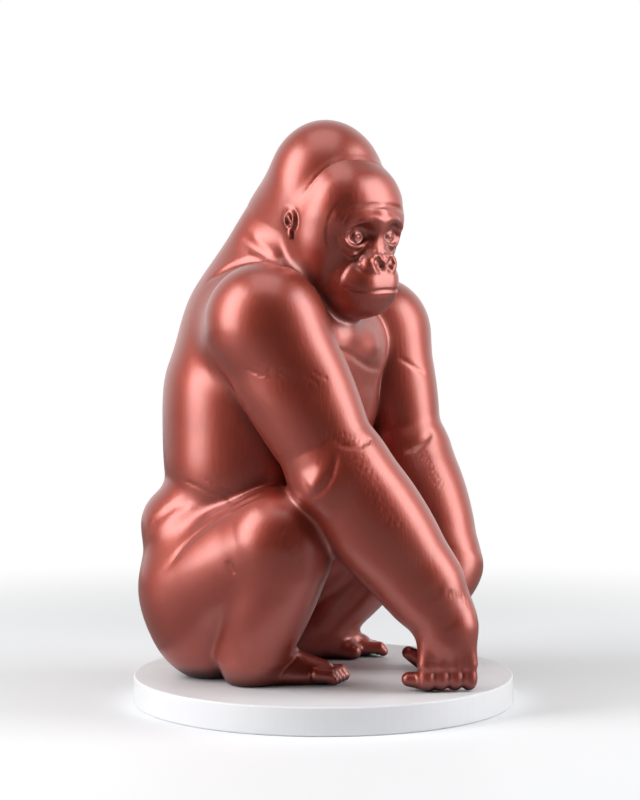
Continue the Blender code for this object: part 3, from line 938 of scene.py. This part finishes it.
def white_lacquer():
    """Satin white, with the faint unevenness of a sprayed coat."""
    material = bpy.data.materials.new("white lacquer")
    tree, shader = nodes_of(material)
    white = mixed(tree, noise(tree, 30.0, 3.0), *LACQUER_COLOURS)
    tree.links.new(white, shader.inputs["Base Color"])
    tree.links.new(ranged(tree, noise(tree, 90.0, 4.0), 0.4, 0.52), shader.inputs["Roughness"])
    tree.links.new(bumped(tree, noise(tree, 900.0, 2.0), 0.08, 0.0001), shader.inputs["Normal"])
    return material


def view_point(u, w, z):
    """The place u mm to the view's right, w toward the camera and z up from the disc's underside."""
    return Vector((ACROSS * u + TOWARD * w + UPRIGHT * z) * MM)


def add_camera():
    data = bpy.data.cameras.new("photograph")
    data.sensor_fit = "VERTICAL"
    data.sensor_height = SENSOR
    data.lens = LENS
    camera = bpy.data.objects.new("photograph", data)
    forward = -TOWARD * math.cos(VIEW_PITCH) - UPRIGHT * math.sin(VIEW_PITCH)
    top = np.cross(ACROSS, forward)
    matrix = Matrix(np.column_stack((ACROSS, top, -forward)).tolist()).to_4x4()
    matrix.translation = view_point(VIEW_SHIFT, VIEW_DISTANCE, VIEW_HEIGHT)
    camera.matrix_world = matrix
    bpy.context.scene.collection.objects.link(camera)
    bpy.context.scene.camera = camera


def add_light(name, place, size, power):
    data = bpy.data.lights.new(name, "AREA")
    data.shape = "RECTANGLE"
    data.size, data.size_y = size
    data.energy = power
    light = bpy.data.objects.new(name, data)
    light.location = place
    aim = LAMP_TARGET - place
    light.rotation_euler = aim.to_track_quat("-Z", "Y").to_euler()
    bpy.context.scene.collection.objects.link(light)


def fade_to_white(tree, shader):
    """Lets the floor run out into the white background some way from the disc."""
    place = tree.nodes.new("ShaderNodeTexCoord")
    reach = tree.nodes.new("ShaderNodeVectorMath")
    reach.operation = "LENGTH"
    tree.links.new(place.outputs["Object"], reach.inputs[0])
    fall = tree.nodes.new("ShaderNodeMapRange")
    fall.interpolation_type = "SMOOTHSTEP"
    fall.inputs["From Min"].default_value = FLOOR_SHOWN * MM
    fall.inputs["From Max"].default_value = FLOOR_GONE * MM
    tree.links.new(reach.outputs["Value"], fall.inputs["Value"])
    path = tree.nodes.new("ShaderNodeLightPath")
    share = tree.nodes.new("ShaderNodeMath")
    share.operation = "MULTIPLY"
    tree.links.new(fall.outputs["Result"], share.inputs[0])
    tree.links.new(path.outputs["Is Camera Ray"], share.inputs[1])
    glow = tree.nodes.new("ShaderNodeEmission")
    glow.inputs["Color"].default_value = (1.0, 1.0, 1.0, 1.0)
    blend = tree.nodes.new("ShaderNodeMixShader")
    tree.links.new(share.outputs["Value"], blend.inputs["Fac"])
    tree.links.new(shader.outputs["BSDF"], blend.inputs[1])
    tree.links.new(glow.outputs["Emission"], blend.inputs[2])
    tree.links.new(blend.outputs["Shader"], tree.nodes["Material Output"].inputs["Surface"])


def dimmed(tree, colour):
    """The same colour, but darker where the paint mirrors it, so that the figure keeps its depth below."""
    path = tree.nodes.new("ShaderNodeLightPath")
    mirrored = mixed(tree, path.outputs["Is Glossy Ray"], (1.0, 1.0, 1.0), FLOOR_MIRRORED)
    product = tree.nodes.new("ShaderNodeMix")
    product.data_type = "RGBA"
    product.blend_type = "MULTIPLY"
    product.inputs["Factor"].default_value = 1.0
    tree.links.new(colour, product.inputs["A"])
    tree.links.new(mirrored, product.inputs["B"])
    return product.outputs["Result"]


def add_floor():
    mesh = bpy.data.meshes.new("floor")
    reach = FLOOR_REACH
    corners = [(-reach, -reach, 0), (reach, -reach, 0), (reach, reach, 0), (-reach, reach, 0)]
    mesh.from_pydata(corners, [], [(0, 1, 2, 3)])
    floor = bpy.data.objects.new("floor", mesh)
    bpy.context.scene.collection.objects.link(floor)
    paper = bpy.data.materials.new("pale floor")
    tree, shader = nodes_of(paper)
    pale = mixed(tree, noise(tree, 6.0, 2.0), *FLOOR_COLOURS)
    tree.links.new(dimmed(tree, pale), shader.inputs["Base Color"])
    shader.inputs["Roughness"].default_value = 0.6
    fade_to_white(tree, shader)
    mesh.materials.append(paper)


def either(tree, one, other):
    """The larger of two values, so that either of two switches is enough."""
    most = tree.nodes.new("ShaderNodeMath")
    most.operation = "MAXIMUM"
    tree.links.new(one, most.inputs[0])
    tree.links.new(other, most.inputs[1])
    return most.outputs["Value"]


def add_surroundings():
    """White where the camera sees them, mirrored white only behind the figure, grey for scattered light."""
    world = bpy.data.worlds.new("surroundings")
    world.use_nodes = True
    bpy.context.scene.world = world
    tree = world.node_tree
    scattered = tree.nodes["Background"]
    scattered.inputs["Color"].default_value = SCATTERED_COLOUR
    scattered.inputs["Strength"].default_value = SCATTERED_STRENGTH
    place = tree.nodes.new("ShaderNodeTexCoord")
    facing = tree.nodes.new("ShaderNodeVectorMath")
    facing.operation = "DOT_PRODUCT"
    facing.inputs[1].default_value = TOWARD
    tree.links.new(place.outputs["Generated"], facing.inputs[0])
    fall = tree.nodes.new("ShaderNodeMapRange")
    fall.interpolation_type = "SMOOTHSTEP"
    fall.inputs["From Min"].default_value = DARK_FROM
    fall.inputs["From Max"].default_value = DARK_TO
    fall.inputs["To Min"].default_value = 1.0
    fall.inputs["To Max"].default_value = DARKEST
    tree.links.new(facing.outputs["Value"], fall.inputs["Value"])
    path = tree.nodes.new("ShaderNodeLightPath")
    seen = tree.nodes.new("ShaderNodeBackground")
    seen.inputs["Color"].default_value = (1.0, 1.0, 1.0, 1.0)
    brightness = either(tree, fall.outputs["Result"], path.outputs["Is Camera Ray"])
    tree.links.new(brightness, seen.inputs["Strength"])
    direct = either(tree, path.outputs["Is Camera Ray"], path.outputs["Is Glossy Ray"])
    shown = either(tree, direct, path.outputs["Is Transmission Ray"])
    choose = tree.nodes.new("ShaderNodeMixShader")
    tree.links.new(shown, choose.inputs["Fac"])
    tree.links.new(scattered.outputs["Background"], choose.inputs[1])
    tree.links.new(seen.outputs["Background"], choose.inputs[2])
    tree.links.new(choose.outputs["Shader"], tree.nodes["World Output"].inputs["Surface"])


bpy.context.scene.view_settings.view_transform = "Standard"
add_camera()
add_floor()
for name, place, size, power in LAMPS:
    add_light(name, view_point(*place), size, power)
add_surroundings()
casting = add_figure()
casting.data.materials.clear()
casting.data.materials.append(copper_paint())
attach(casting, "root")
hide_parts("gorilla_figure")
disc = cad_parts["round_base"]
for place in disc.material_slots:
    place.material = white_lacquer()
